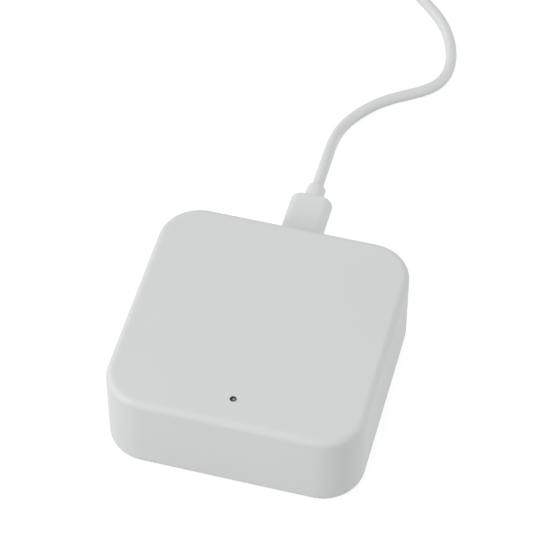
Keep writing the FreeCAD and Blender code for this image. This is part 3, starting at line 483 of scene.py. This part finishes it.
# Inside of the USB-C socket. A tongue moulded in black plastic, with a row of gold-plated
# contacts on each face, which the plug slides over.
gold = rolled_metal("gold_plate", linear(226, 190, 118), roughness=0.22, grain=8.0)
cover(gold, "usb_c_socket_contacts")
black_plastic = moulded_plastic("black_moulding", linear(38, 38, 40), grain=0.3, roughness=0.42)
cover(black_plastic, "usb_c_socket_tongue")

# Memory chip's legs. Two rows of four bent and tinned strips that carry the chip on the
# board, each with its foot soldered flat.
MEMORY_X, MEMORY_Y, LEG_ROW, LEG_WIDTH = 9.5, 4.5, 2.6, 0.4


def parts_on_a_grid():
    """Geometry Nodes that set a part on each point of a grid and join the copies."""
    tree = bpy.data.node_groups.new("parts_on_a_grid", "GeometryNodeTree")
    for name, kind in (
        ("Part", "Object"), ("Count X", "Int"), ("Count Y", "Int"), ("Size X", "Float"),
        ("Size Y", "Float"), ("Centre", "Vector"), ("Finish", "Material"),
    ):
        tree.interface.new_socket(name, in_out="INPUT", socket_type="NodeSocket" + kind)
    tree.interface.new_socket("Geometry", in_out="OUTPUT", socket_type="NodeSocketGeometry")
    given = tree.nodes.new("NodeGroupInput").outputs
    made = tree.nodes.new("NodeGroupOutput").inputs
    grid, move, part, copies, real, paint = [
        tree.nodes.new("GeometryNode" + kind)
        for kind in (
            "MeshGrid", "Transform", "ObjectInfo", "InstanceOnPoints", "RealizeInstances",
            "SetMaterial",
        )
    ]
    for node, socket, source in (
        (grid, "Vertices X", given["Count X"]),
        (grid, "Vertices Y", given["Count Y"]),
        (grid, "Size X", given["Size X"]),
        (grid, "Size Y", given["Size Y"]),
        (move, "Geometry", grid.outputs["Mesh"]),
        (move, "Translation", given["Centre"]),
        (part, "Object", given["Part"]),
        (copies, "Points", move.outputs["Geometry"]),
        (copies, "Instance", part.outputs["Geometry"]),
        (real, "Geometry", copies.outputs["Instances"]),
        (paint, "Geometry", real.outputs["Geometry"]),
        (paint, "Material", given["Finish"]),
    ):
        tree.links.new(source, node.inputs[socket])
    tree.links.new(paint.outputs["Geometry"], made["Geometry"])
    return tree


GRID_TREE = parts_on_a_grid()


def set_out(name, part, finish, count, size, centre):
    """One mesh of copies of the part on a grid. The part itself is used up."""
    piece = bpy.data.objects.new(name, bpy.data.meshes.new(name))
    bpy.context.scene.collection.objects.link(piece)
    step = piece.modifiers.new("grid", "NODES")
    step.node_group = GRID_TREE
    inputs = [part, *count, size[0] * MM, size[1] * MM, [v * MM for v in centre]]
    inputs.append(finish.material)
    sockets = [s for s in GRID_TREE.interface.items_tree if s.in_out == "INPUT"]
    for socket, value in zip(sockets, inputs):
        step[socket.identifier] = value
    plain_mesh(piece)
    bpy.data.objects.remove(part)
    smooth(piece)
    return piece


def legs(name, way):
    """A row of legs on one side of the chip, way 1 behind it and way -1 in front."""
    side = [(0.0, 0.75), (0.0, 0.95), (0.35, 0.95), (0.75, 0.2), (1.2, 0.2), (1.2, 0.0)]
    side += [(0.6, 0.0), (0.25, 0.75)]
    outline = [(way * y, z) for y, z in side]
    shape = bmesh.new()
    add_solid(shape, prism(outline, -LEG_WIDTH / 2, LEG_WIDTH / 2), axes="yzx")
    centre = (MEMORY_X, MEMORY_Y + way * LEG_ROW, BOARD_TOP)
    row = set_out(name, solid("leg", shape), tinplate, (4, 1), (3 * 1.27, 0), centre)
    fit(row, tinplate, "shield")


legs("memory_legs_back", 1)
legs("memory_legs_front", -1)

# Board screws and cover screws. Zinc-plated steel, with a domed head, a cross recess and a
# coarse thread that cuts its way into the plastic of the posts and towers.
BOARD_HEAD, COVER_HEAD = 1.2, 1.3


def cross(reach, width):
    """Outline of a plus sign, counter-clockwise."""
    corner = [(reach / 2, -width / 2), (reach / 2, width / 2), (width / 2, width / 2)]
    points = []
    for cosine, sine in ((1, 0), (0, 1), (-1, 0), (0, -1)):
        points += [(x * cosine - y * sine, x * sine + y * cosine) for x, y in corner]
    return points


def screw(head, head_height, shank, length, reach):
    """A screw that stands head down on the origin."""
    radius, core, crest, pitch = head / 2, 0.39 * shank, 0.5 * shank, 0.36 * shank
    profile = [(radius - 0.45, 0.0), (radius - 0.2, 0.08), (radius - 0.05, 0.25)]
    profile += [(radius, 0.5), (radius, head_height), (core, head_height)]
    height, end = head_height + 0.3, head_height + length
    while height < end - 1.4:
        profile += [(core, height), (crest, height + 0.3 * pitch)]
        profile += [(crest, height + 0.4 * pitch), (core, height + 0.7 * pitch)]
        height += pitch
    profile += [(0.36 * shank, end - 0.9), (0.1, end)]
    shape = bmesh.new()
    add_solid(shape, turned(profile, 32))
    part = solid("screw", shape)
    recess = bmesh.new()
    add_solid(recess, [(cross(1.15 * reach, 0.55), -0.1), (cross(0.5 * reach, 0.35), 0.75)])
    combine(part, recess, "DIFFERENCE")
    return part


screw_steel = rolled_metal("zinc_plated_steel", linear(190, 192, 194), roughness=0.3)
board_set = set_out(
    "board_screw_set", screw(3.6, BOARD_HEAD, 1.6, 6.0, 2.0), screw_steel, (2, 2),
    (2 * POST_X, 2 * POST_Y), (0, 0, BOARD_TOP - BOARD_THICK - BOARD_HEAD),
)
fit(board_set, screw_steel, "screw_steel", "board_screws")
cover_set = set_out(
    "cover_screw_set", screw(4.2, COVER_HEAD, 2.2, 8.0, 2.4), screw_steel, (2, 2),
    (2 * TOWER, 2 * TOWER), (0, 0, UNDERSIDE),
)
fit(cover_set, screw_steel, "screw_steel", "cover_screws")

# Base plate. A flat cover in the housing's plastic, let into the underside, with sunk
# screw holes and foot recesses below, and a rim, stiffeners and board rests above.
PLATE_SIDE, PLATE_CORNER = 63.7, 8.35
RIM_AT, RIM_LONG, RIM_TALL = 29.65, 36.0, 2.0
STIFFENER_AT, STIFFENER_LONG, STIFFENER_TALL = 9.0, 48.0, 1.5
REST_X, REST_Y, REST_RADIUS, REST_TOP = 14.0, 24.0, 1.75, BOARD_TOP - 1.8
SCREW_SINK, SCREW_HOLE, SUNK_DEPTH = 2.3, 1.4, 1.3
FOOT, FOOT_RECESS, FOOT_DEPTH = 20.5, 4.1, 0.6


def plate_ring(inset):
    side = PLATE_SIDE - 2 * inset
    return rounded(side, side, PLATE_CORNER - inset, flat=0.8)


plate_sections = [(plate_ring(0.9), UNDERSIDE), (plate_ring(0.3), UNDERSIDE)]
plate_sections += [(plate_ring(0.09), UNDERSIDE + 0.09)]
plate_sections += prism(plate_ring(0.0), UNDERSIDE + 0.3, PLATE_TOP)
shape = bmesh.new()
add_solid(shape, plate_sections)
plate = solid("base_plate_piece", shape)
lengthways = bmesh.new()
crossways = bmesh.new()
holes = bmesh.new()
plate_root = PLATE_TOP - 0.2
for sign in (1, -1):
    for width, depth, tall, across, along, group in (
        (RIB, RIM_LONG, RIM_TALL, RIM_AT, 0, lengthways),
        (RIM_LONG, RIB, RIM_TALL, 0, RIM_AT, lengthways),
        (RIB, STIFFENER_LONG, STIFFENER_TALL, STIFFENER_AT, 0, lengthways),
        (STIFFENER_LONG, RIB, STIFFENER_TALL, 0, STIFFENER_AT, crossways),
    ):
        bar = prism(square(width, depth), plate_root, PLATE_TOP + tall)
        add_solid(group, bar, (sign * across, sign * along, 0))
for right, back in CORNERS:
    rest = prism(disc(REST_RADIUS), plate_root, REST_TOP)
    add_solid(lengthways, rest, (right * REST_X, back * REST_Y, 0))
    sunk = [(SCREW_SINK + 0.04, UNDERSIDE - 0.05), (SCREW_SINK, UNDERSIDE + 0.05)]
    sunk += [(SCREW_SINK, UNDERSIDE + SUNK_DEPTH), (SCREW_HOLE, UNDERSIDE + SUNK_DEPTH)]
    sunk += [(SCREW_HOLE, PLATE_TOP + OVERCUT)]
    add_solid(holes, turned(sunk), (right * TOWER, back * TOWER, 0))
    sunk = [(FOOT_RECESS + 0.06, UNDERSIDE - 0.05), (FOOT_RECESS, UNDERSIDE + 0.05)]
    sunk += [(FOOT_RECESS, UNDERSIDE + FOOT_DEPTH)]
    add_solid(holes, turned(sunk, 64), (right * FOOT, back * FOOT, 0))
combine(plate, lengthways, "UNION")
combine(plate, crossways, "UNION")
combine(plate, holes, "DIFFERENCE")
smooth(plate)
base_finish = moulded_plastic("matt_base_plastic", linear(208, 209, 208), grain=0.3, depth=0.01)
fit(plate, base_finish, "base_plastic", "base_plate")

# Rubber feet. Four soft grey discs with a shallow dish, each stuck in its recess in the
# base plate. They lift the box just off the table.
foot_profile = [(2.4, 0.12), (2.9, 0.03), (3.2, 0.0), (3.7, 0.0), (3.9, 0.08), (3.98, 0.22)]
foot_profile += prism(4.0, 0.4, UNDERSIDE + FOOT_DEPTH)
shape = bmesh.new()
add_solid(shape, turned(foot_profile, 64))
rubber = moulded_plastic("soft_foot_rubber", linear(150, 151, 150), grain=0.15, roughness=0.75)
feet = set_out(
    "rubber_foot_set", solid("foot", shape), rubber, (2, 2), (2 * FOOT, 2 * FOOT), (0, 0, 0)
)
fit(feet, rubber, "foot_rubber", *[f"rubber_foot_{number}" for number in range(1, 5)])

# Plug grips. Each is moulded over its plug and its cord in one shot of soft white plastic,
# a rounded block with a round collar that the cord leaves.
GRIP_CORNER, FACE_ROUND, END_ROUND = 2.8, 0.35, 1.2
COLLAR, COLLAR_ROOT, COLLAR_END = 5.4, 0.6, 0.7
C_GRIP_FACE, A_GRIP_FACE, A_PLUG_Y, A_PLUG_Z = 35.2, 63.5, 219.5, 4.05


def grip_outlines(width, height, length, collar_length):
    """Outlines from the plug's face to the collar's end, each with its way from the face."""
    hair = 0.004  # off a half round, whose two corners would meet
    rows = []
    for rise, run in quarter(4):
        inset = FACE_ROUND * (1 - rise)
        way = FACE_ROUND * run
        rows.append((width - 2 * inset, height - 2 * inset, GRIP_CORNER - inset, way))
    rows.append((width, height, GRIP_CORNER, 1.0))
    rows.append((width, height, GRIP_CORNER, length - END_ROUND - 0.5))
    for rise, run in quarter(10):
        wide, tall = width - 2 * END_ROUND * run, height - (height - COLLAR) * run
        way = length - END_ROUND * (1 - rise)
        rows.append((wide, tall, min(GRIP_CORNER, tall / 2) - hair, way))
    for rise, run in quarter(7)[1:]:
        wide = COLLAR + 2 * COLLAR_ROOT * (1 - rise)
        rows.append((wide, COLLAR, COLLAR / 2 - hair, length + COLLAR_ROOT * run))
    end = length + collar_length
    rows.append((COLLAR, COLLAR, COLLAR / 2 - hair, end - 1.0))
    for rise, run in quarter(7):
        across = COLLAR - 2 * COLLAR_END * run
        rows.append((across, across, across / 2 - hair, end - COLLAR_END * (1 - rise)))
    return layered(rows, steps=12)


shape = bmesh.new()
outlines = [(outline, C_GRIP_FACE + way) for outline, way in grip_outlines(12.0, 6.0, 21.8, 5.0)]
add_solid(shape, outlines, (0, 0, PORT_Z), "xzy")
c_grip = solid("c_plug_grip_piece", shape)
smooth(c_grip)
grip_plastic = moulded_plastic(
    "soft_grip_plastic", linear(219, 221, 220), grain=0.12, depth=0.003, roughness=0.36,
    specular=0.5,
)
fit(c_grip, grip_plastic, "grip_plastic", "usb_c_plug_grip")

shape = bmesh.new()
outlines = [(outline, A_GRIP_FACE - way) for outline, way in grip_outlines(15.5, 8.1, 22.0, 6.0)]
add_solid(shape, outlines, (0, A_PLUG_Y, A_PLUG_Z), "yzx")
a_grip = solid("a_plug_grip_piece", shape)
smooth(a_grip)
fit(a_grip, grip_plastic, "grip_plastic", "usb_a_plug_grip")

# Lead. A round cord in a soft matt white jacket: level out of its collar, down to the
# table, in a loose S, and then six and a third close turns in two layers, as it is put
# away.
CORD = 3.3
FLOOR_Z, LOWER_Z, UPPER_Z = 1.7, 2.2, 5.55
COIL_X, COIL_Y, COIL_RADIUS, COIL_PITCH, COIL_START = 8.5, 195.5, 24.0, 3.4, 215
LAYER_TURNS, CLIMB_TURNS, PER_TURN = 2.924, 0.5, 18
route = [(0, 62.0, PORT_Z), (0, 69.4, PORT_Z), (-0.3, 77.4, 10.9), (-1.1, 85.2, 6.6)]
route += [(-1.4, 93.4, 2.6)]
route += [(x, y, FLOOR_Z) for x, y in (
    (0.5, 100.1), (5.4, 107.2), (10.9, 112.1), (17.6, 116.2), (22.4, 120.4),
    (24.5, 125.7), (24.5, 132.3), (22.3, 140.4), (17.6, 148.6), (9.9, 156.0),
)]
route += [(2.03, 162.89, LOWER_Z), (-3.13, 170.27, LOWER_Z)]
whole = 2 * LAYER_TURNS + CLIMB_TURNS
steps = round(whole * PER_TURN)
for step in range(steps):
    turned_so_far = whole * (step + 0.5) / steps
    if turned_so_far < LAYER_TURNS:
        radius, height = COIL_RADIUS - COIL_PITCH * turned_so_far, LOWER_Z
    elif turned_so_far < LAYER_TURNS + CLIMB_TURNS:
        share = (turned_so_far - LAYER_TURNS) / CLIMB_TURNS
        radius = COIL_RADIUS - COIL_PITCH * LAYER_TURNS - 0.5 * math.sin(math.pi * share)
        height = LOWER_Z + (UPPER_Z - LOWER_Z) * share
    else:
        radius = COIL_RADIUS - COIL_PITCH * (whole - turned_so_far)
        height = UPPER_Z
    radius /= math.cos(math.pi * whole / steps)
    angle = math.radians(COIL_START) - 2 * math.pi * turned_so_far
    route.append((COIL_X + radius * math.cos(angle), COIL_Y + radius * math.sin(angle), height))
route += [(21.5, A_PLUG_Y, UPPER_Z), (25.7, A_PLUG_Y, UPPER_Z)]
route += [(31.3, A_PLUG_Y, A_PLUG_Z), (35.5, A_PLUG_Y, A_PLUG_Z)]
curve = bpy.data.curves.new("cord_piece", "CURVE")
curve.dimensions = "3D"
spline = curve.splines.new("NURBS")
spline.points.add(len(route) - 1)
for point, (x, y, z) in zip(spline.points, route):
    point.co = (x * MM, y * MM, z * MM, 1.0)
spline.order_u = 3
spline.use_endpoint_u = True
spline.resolution_u = 10
curve.bevel_depth = CORD / 2 * MM
curve.bevel_resolution = 7
curve.use_fill_caps = True
cord = bpy.data.objects.new("cord_piece", curve)
bpy.context.scene.collection.objects.link(cord)
jacket = moulded_plastic(
    "soft_cord_jacket", linear(216, 218, 217), grain=0.1, depth=0.002, roughness=0.36,
    specular=0.5,
)
fit(cord, jacket, "cord_jacket", "power_cord", "cord_coil", "cord_tail")

# USB-A plug. A folded steel sleeve with two windows above and below, around a moulded
# tongue that carries four gold-plated contacts.
WINDOW_X, WINDOW_ASIDE = 69.5, 2.4
sleeve = [(12.0, 4.5, 0.6, A_GRIP_FACE), (12.0, 4.5, 0.6, 75.2), (11.9, 4.4, 0.55, 75.42)]
sleeve += [(11.7, 4.2, 0.45, 75.5), (11.5, 4.0, 0.35, 75.44), (11.4, 3.9, 0.3, 75.3)]
sleeve += [(11.4, 3.9, 0.3, A_GRIP_FACE)]
shape = bmesh.new()
sections = layered(sleeve, steps=6, flat=0.3)
add_solid(shape, sections, (0, A_PLUG_Y, A_PLUG_Z), "yzx", sleeve=True)
a_shell = solid("a_plug_shell_piece", shape)
windows = bmesh.new()
for sign in (1, -1):
    opening = prism(rounded(2.0, 2.2, 0.2, steps=4), 1.0, 7.1)
    add_solid(windows, opening, (WINDOW_X, A_PLUG_Y + sign * WINDOW_ASIDE, 0))
combine(a_shell, windows, "DIFFERENCE")
smooth(a_shell)
fit(a_shell, connector_steel, "connector_steel", "usb_a_plug_shell")

tongue_finish = moulded_plastic("tongue_moulding", linear(226, 226, 224), grain=0.3, roughness=0.4)
cover(tongue_finish, "usb_a_plug_tongue")

strip = [(7.4, 0.9, 0.25, 0.0), (7.5, 1.0, 0.3, 0.03), (7.5, 1.0, 0.3, 0.1)]
strip += [(7.36, 0.86, 0.23, 0.15)]
shape = bmesh.new()
add_solid(shape, layered(strip, steps=4))
a_contacts = set_out(
    "a_plug_contact_set", solid("strip", shape), gold, (1, 4), (0, 6.9),
    (71.45, A_PLUG_Y, A_PLUG_Z),
)
fit(a_contacts, gold, "contact_metal", "usb_a_plug_contacts")

# Coil tie. A soft grey strap that passes under the coil, laps over itself on top, and
# holds the put-away turns together.
LOOP_WIDTH, LOOP_HEIGHT, LOOP_CORNER = 15.24, 7.85, 1.7
LOOP_AT, LOOP_TURN, BAND = 19.03, 300, 2.5  # from the coil's middle, and half the band
outer, edge_out, edge_in, inner = [
    rounded(LOOP_WIDTH - 2 * inset, LOOP_HEIGHT - 2 * inset, LOOP_CORNER - inset, 8, 0.4)
    for inset in (0.0, 0.1, 0.4, 0.5)
]
edge = BAND - 0.1
rows = [(edge_out, -BAND), (outer, -edge), (outer, edge), (edge_out, BAND), (edge_in, BAND)]
rows += [(inner, edge), (inner, -edge), (edge_in, -BAND)]
shape = bmesh.new()
add_solid(shape, rows, (LOOP_AT, 0, LOOP_HEIGHT / 2), "xzy", sleeve=True)
flap = [(8.6, 4.6, 1.0, 7.84), (9.0, 5.0, 1.2, 7.94), (9.0, 5.0, 1.2, 8.24)]
flap += [(8.6, 4.6, 1.0, 8.34)]
add_solid(shape, layered(flap, steps=6), (18.6, 0, 0))
turn = Matrix.Rotation(math.radians(LOOP_TURN), 4, "Z")
to_the_coil = Matrix.Translation((COIL_X * MM, COIL_Y * MM, 0)) @ turn
bmesh.ops.transform(shape, matrix=to_the_coil, verts=shape.verts)
tie = solid("coil_tie_piece", shape)
smooth(tie)
strap = Finish("woven_grey_strap", sheen_weight=0.3)
nap = strap.noise(6.0, detail=3.0)
strap.set(base_color=strap.blend(nap, linear(158, 160, 160), linear(190, 191, 191)))
strap.set(roughness=0.8 + nap * 0.15)
strap.bump(nap, 0.05)
fit(tie, strap, "strap", "coil_tie")

# Studio. A white table and a white surround, with a little of the table's white sent back
# up. Three soft lamps stand around it: the key in front on the left, one behind on the left
# and a weak, low and slightly cool one on the right. None of it is part of the object.
WHITE, COOL = (1.0, 1.0, 1.0), (0.94, 0.98, 1.06)
TABLE_HALF, TABLE_DROP = 4.0, 0.00005  # metres, as are the lamps' sizes
TABLE_SENT, TABLE_SHADE, TABLE_GLOW, SKY = 0.62, 0.25, 0.84, 0.718
LAMP_SIZE, LAMP_AWAY, LAMP_AIM = 0.6, 1.2, Vector((0, 0.03, 0.01))
shape = bmesh.new()
bmesh.ops.create_grid(shape, x_segments=1, y_segments=1, size=TABLE_HALF)
for vertex in shape.verts:
    vertex.co.z = -TABLE_DROP
floor = solid("table_top", shape)


def grey(level):
    return (level, level, level, 1.0)


def shows_white(finish):
    """One for the rays that meet plain white: from the camera, a gloss or a clear part."""
    camera, glossy, through = [
        finish.node("LightPath", {}, {}, f"Is {kind} Ray")
        for kind in ("Camera", "Glossy", "Transmission")
    ]
    return camera | glossy | through


table = Finish("white_table")
table.tree.nodes.remove(table.shader)
sent = table.node("BsdfDiffuse", {}, {"Color": grey(TABLE_SENT)})
shade = table.node("BsdfDiffuse", {}, {"Color": grey(TABLE_SHADE)})
glow = table.node("Emission", {}, {"Color": grey(1.0), "Strength": TABLE_GLOW})
shown = table.node("AddShader", {}, {0: shade, 1: glow})
mixed = table.node("MixShader", {}, {0: shows_white(table), 1: sent, 2: shown})
table.tree.links.new(mixed.socket, table.tree.nodes["Material Output"].inputs["Surface"])
floor.data.materials.append(table.material)


class Surround(Finish):
    """The world around the table, with nodes made as a material's are."""

    def __init__(self, name):
        self.world = bpy.data.worlds.new(name)
        self.world.use_nodes = True
        self.tree = self.world.node_tree
        self.shader = self.tree.nodes["Background"]


sky = Surround("white_surround")
bpy.context.scene.world = sky.world
levels = {"Value": shows_white(sky), "To Min": SKY, "To Max": 1.0}
sky.set(color=grey(1.0), strength=sky.node("MapRange", {}, levels))


def away_from_box(turn, rise):
    """Unit vector from the box, turned to the right of its front and raised, in degrees."""
    azimuth, elevation = math.radians(turn), math.radians(rise)
    return Vector((
        math.sin(azimuth) * math.cos(elevation),
        -math.cos(azimuth) * math.cos(elevation),
        math.sin(elevation),
    ))


for name, turn, rise, watts, colour in (
    ("key_lamp", -45, 30, 5.4, WHITE),
    ("side_lamp", -115, 20, 1.3, WHITE),
    ("fill_lamp", 110, 8, 2.1, COOL),
):
    lamp = bpy.data.objects.new(name, bpy.data.lights.new(name, "AREA"))
    bpy.context.scene.collection.objects.link(lamp)
    lamp.data.shape = "DISK"
    lamp.data.size = LAMP_SIZE
    lamp.data.energy = watts
    lamp.data.color = colour
    away = away_from_box(turn, rise)
    lamp.location = LAMP_AIM + away * LAMP_AWAY
    lamp.rotation_euler = away.to_track_quat("Z", "Y").to_euler()

# Camera. A long lens to the right of the front and well above it. It looks over the middle
# of the box, so that the lead is in the picture.
CAMERA_TURN, CAMERA_RISE, CAMERA_AWAY = 15, 50, 691.7
AIM_RIGHT, AIM_UP = 1.71, 31.14
SENSOR, FOCAL_PIXELS, PICTURE_PIXELS = 36.0, 2533.2, 533
back = away_from_box(CAMERA_TURN, CAMERA_RISE)
right = (-back).cross(Vector((0, 0, 1))).normalized()
up = back.cross(right)
base = Vector((0, 0, UNDERSIDE))
camera = bpy.data.objects.new("camera", bpy.data.cameras.new("camera"))
bpy.context.scene.collection.objects.link(camera)
camera.location = (back * CAMERA_AWAY + right * AIM_RIGHT + up * AIM_UP + base) * MM
camera.rotation_euler = Matrix((right, up, back)).transposed().to_euler()
camera.data.sensor_width = SENSOR
camera.data.lens = SENSOR * FOCAL_PIXELS / PICTURE_PIXELS
camera.data.clip_start, camera.data.clip_end = 0.05, 20.0
bpy.context.scene.camera = camera
bpy.context.scene.view_settings.view_transform = "Standard"
